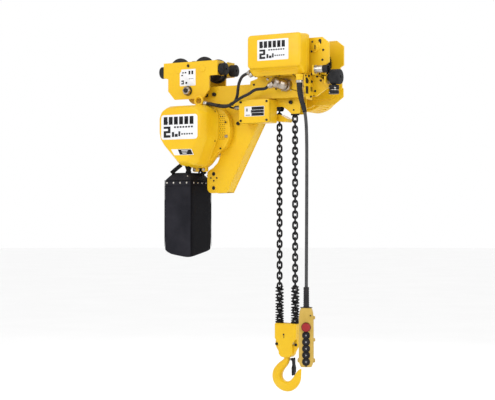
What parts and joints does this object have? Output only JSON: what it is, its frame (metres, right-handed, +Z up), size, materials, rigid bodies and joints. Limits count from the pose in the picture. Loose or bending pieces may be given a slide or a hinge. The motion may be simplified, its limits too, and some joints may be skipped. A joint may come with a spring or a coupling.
{
  "type": "electric chain hoist",
  "caption": "Low-headroom electric chain hoist on an idle and a motor-driven beam trolley, with a hook block on a double fall of chain, a chain bag and a hanging push-button pendant.",
  "frame": {"origin": "middle of the beam's web on the wheel tread plane, which is the top face of the beam's lower flange; X = 0 lies between the two trolleys", "axes": "+X along the beam from the idle trolley to the driven trolley, +Z up, -Y is the side of the control box and the pendant"},
  "size_m": [0.965, 0.4896, 1.5949],
  "materials": {
    "yellow_paint": "semi-gloss enamel",
    "bright_steel": "machined",
    "wheel_steel": "satin",
    "chain_black": "oiled black oxide",
    "buffer_rubber": "matte",
    "connector_metal": "satin",
    "bag_fabric": "coated woven polyester",
    "pendant_shell": "satin moulding",
    "button_black": "moulded",
    "stop_red": "moulded",
    "cable_sheath": "matte"
  },
  "bodies": {
    "root": {"frame_plate_near": "yellow_paint", "frame_plate_far": "yellow_paint", "frame_web": "yellow_paint", "tie_shaft": "bright_steel", "sheave_axle": "bright_steel", "idle_cross_shaft": "bright_steel", "drive_plate_near": "yellow_paint", "drive_plate_far": "yellow_paint", "drive_buffer": "buffer_rubber", "travel_gearcase": "yellow_paint", "travel_motor": "yellow_paint", "control_box": "yellow_paint", "control_cover": "yellow_paint", "power_inlet": "connector_metal", "motor_plug": "connector_metal", "limit_box": "yellow_paint", "limit_lid": "yellow_paint", "hoist_cover": "yellow_paint", "hoist_gearcase": "yellow_paint", "hoist_motor": "yellow_paint", "hoist_end_cover": "yellow_paint", "eye_bolt": "yellow_paint", "chain_bag": "bag_fabric", "chain_run": "chain_black", "chain_live": "chain_black", "chain_dead": "chain_black", "pendant_sleeve": "cable_sheath", "control_lead": "cable_sheath", "motor_lead": "cable_sheath"},
    "idle_trolley": {"idle_plate_near": "yellow_paint", "idle_plate_far": "yellow_paint", "idle_buffer_left": "buffer_rubber", "idle_buffer_right": "buffer_rubber"},
    "idle_wheel_near_left": {"idle_wheel_near_left": "wheel_steel"},
    "idle_wheel_near_right": {"idle_wheel_near_right": "wheel_steel"},
    "idle_wheel_far_left": {"idle_wheel_far_left": "wheel_steel"},
    "idle_wheel_far_right": {"idle_wheel_far_right": "wheel_steel"},
    "drive_wheel_near_left": {"drive_wheel_near_left": "wheel_steel"},
    "drive_wheel_near_right": {"drive_wheel_near_right": "wheel_steel"},
    "drive_wheel_far_left": {"drive_wheel_far_left": "wheel_steel"},
    "drive_wheel_far_right": {"drive_wheel_far_right": "wheel_steel"},
    "travel_pinion": {"travel_pinion": "bright_steel"},
    "guide_sheave": {"guide_sheave": "bright_steel"},
    "load_sheave": {"load_sheave": "bright_steel"},
    "hook_block": {"block_half_near": "yellow_paint", "block_half_far": "yellow_paint", "stop_spring_live": "chain_black", "stop_spring_dead": "chain_black"},
    "block_sheave": {"block_sheave": "bright_steel"},
    "hook": {"hook": "yellow_paint"},
    "hook_latch": {"hook_latch": "chain_black"},
    "limit_lever": {"limit_lever": "yellow_paint"},
    "pendant": {"pendant_body": "pendant_shell", "pendant_cable": "cable_sheath"},
    "button_up": {"button_up": "button_black"},
    "button_down": {"button_down": "button_black"},
    "button_left": {"button_left": "button_black"},
    "button_right": {"button_right": "button_black"},
    "button_start": {"button_start": "button_black"},
    "stop_button": {"stop_button": "stop_red"}
  },
  "joints": [
    {"name": "idle_trolley_rock", "type": "hinge", "parent": "root", "child": "idle_trolley", "pos_m": [-0.275, 0, -0.052], "axis": [0, 1, 0], "range_deg": [-3, 3]},
    {"name": "idle_wheel_near_left_spin", "type": "hinge", "parent": "idle_trolley", "child": "idle_wheel_near_left", "pos_m": [-0.329, 0, 0.0475], "axis": [0, 1, 0], "continuous": true},
    {"name": "idle_wheel_near_right_spin", "type": "hinge", "parent": "idle_trolley", "child": "idle_wheel_near_right", "pos_m": [-0.197, 0, 0.0475], "axis": [0, 1, 0], "continuous": true},
    {"name": "idle_wheel_far_left_spin", "type": "hinge", "parent": "idle_trolley", "child": "idle_wheel_far_left", "pos_m": [-0.329, 0, 0.0475], "axis": [0, 1, 0], "continuous": true},
    {"name": "idle_wheel_far_right_spin", "type": "hinge", "parent": "idle_trolley", "child": "idle_wheel_far_right", "pos_m": [-0.197, 0, 0.0475], "axis": [0, 1, 0], "continuous": true},
    {"name": "drive_wheel_near_left_spin", "type": "hinge", "parent": "root", "child": "drive_wheel_near_left", "pos_m": [0.17, 0, 0.0475], "axis": [0, 1, 0], "continuous": true},
    {"name": "drive_wheel_near_right_spin", "type": "hinge", "parent": "root", "child": "drive_wheel_near_right", "pos_m": [0.34, 0, 0.0475], "axis": [0, 1, 0], "continuous": true},
    {"name": "drive_wheel_far_left_spin", "type": "hinge", "parent": "root", "child": "drive_wheel_far_left", "pos_m": [0.17, 0, 0.0475], "axis": [0, 1, 0], "continuous": true},
    {"name": "drive_wheel_far_right_spin", "type": "hinge", "parent": "root", "child": "drive_wheel_far_right", "pos_m": [0.34, 0, 0.0475], "axis": [0, 1, 0], "continuous": true},
    {"name": "travel_pinion_spin", "type": "hinge", "parent": "root", "child": "travel_pinion", "pos_m": [0.255, 0, 0.0475], "axis": [0, 1, 0], "continuous": true},
    {"name": "guide_sheave_spin", "type": "hinge", "parent": "root", "child": "guide_sheave", "pos_m": [0.217, 0, -0.085], "axis": [0, 1, 0], "continuous": true},
    {"name": "load_sheave_spin", "type": "hinge", "parent": "root", "child": "load_sheave", "pos_m": [-0.215, 0, -0.245], "axis": [0, 1, 0], "continuous": true},
    {"name": "hook_lift", "type": "slide", "parent": "root", "child": "hook_block", "axis": [0, 0, 1], "range_m": [0, 0.72], "deforming": ["chain_live", "chain_dead"]},
    {"name": "block_sheave_spin", "type": "hinge", "parent": "hook_block", "child": "block_sheave", "pos_m": [0.208, 0, -1.185], "axis": [0, 1, 0], "continuous": true},
    {"name": "hook_swivel", "type": "hinge", "parent": "hook_block", "child": "hook", "pos_m": [0.208, 0, -1.25], "axis": [0, 0, 1], "continuous": true},
    {"name": "hook_latch_hinge", "type": "hinge", "parent": "hook", "child": "hook_latch", "pos_m": [0.229, 0, -1.28], "axis": [0, 1, 0], "range_deg": [0, 32], "stiffness_Nm_per_rad": 0.6},
    {"name": "limit_lever_hinge", "type": "hinge", "parent": "root", "child": "limit_lever", "pos_m": [0.164, 0, -0.19], "axis": [0, 1, 0], "range_deg": [-12, 0], "stiffness_Nm_per_rad": 1.5},
    {"name": "pendant_swing", "type": "hinge", "parent": "root", "child": "pendant", "pos_m": [0.4007, -0.1961, -0.1942], "axis": [0, 1, 0], "range_deg": [-15, 15]},
    {"name": "button_up_press", "type": "slide", "parent": "pendant", "child": "button_up", "axis": [-0.4226, 0.9063, 0], "range_m": [0, 0.004], "stiffness_N_per_m": 400},
    {"name": "button_down_press", "type": "slide", "parent": "pendant", "child": "button_down", "axis": [-0.4226, 0.9063, 0], "range_m": [0, 0.004], "stiffness_N_per_m": 400},
    {"name": "button_left_press", "type": "slide", "parent": "pendant", "child": "button_left", "axis": [-0.4226, 0.9063, 0], "range_m": [0, 0.004], "stiffness_N_per_m": 400},
    {"name": "button_right_press", "type": "slide", "parent": "pendant", "child": "button_right", "axis": [-0.4226, 0.9063, 0], "range_m": [0, 0.004], "stiffness_N_per_m": 400},
    {"name": "button_start_press", "type": "slide", "parent": "pendant", "child": "button_start", "axis": [-0.4226, 0.9063, 0], "range_m": [0, 0.004], "stiffness_N_per_m": 400},
    {"name": "stop_button_press", "type": "slide", "parent": "pendant", "child": "stop_button", "axis": [-0.4226, 0.9063, 0], "range_m": [0, 0.004], "stiffness_N_per_m": 500}
  ],
  "couplings": [
    {"joint": "travel_pinion_spin", "follows": "drive_wheel_far_left_spin", "ratio": -2.4},
    {"joint": "drive_wheel_far_right_spin", "follows": "drive_wheel_far_left_spin", "ratio": 1},
    {"joint": "block_sheave_spin", "follows": "hook_lift", "rad_per_m": -25},
    {"joint": "guide_sheave_spin", "follows": "hook_lift", "rad_per_m": -64.516},
    {"joint": "load_sheave_spin", "follows": "hook_lift", "rad_per_m": -51.546}
  ]
}
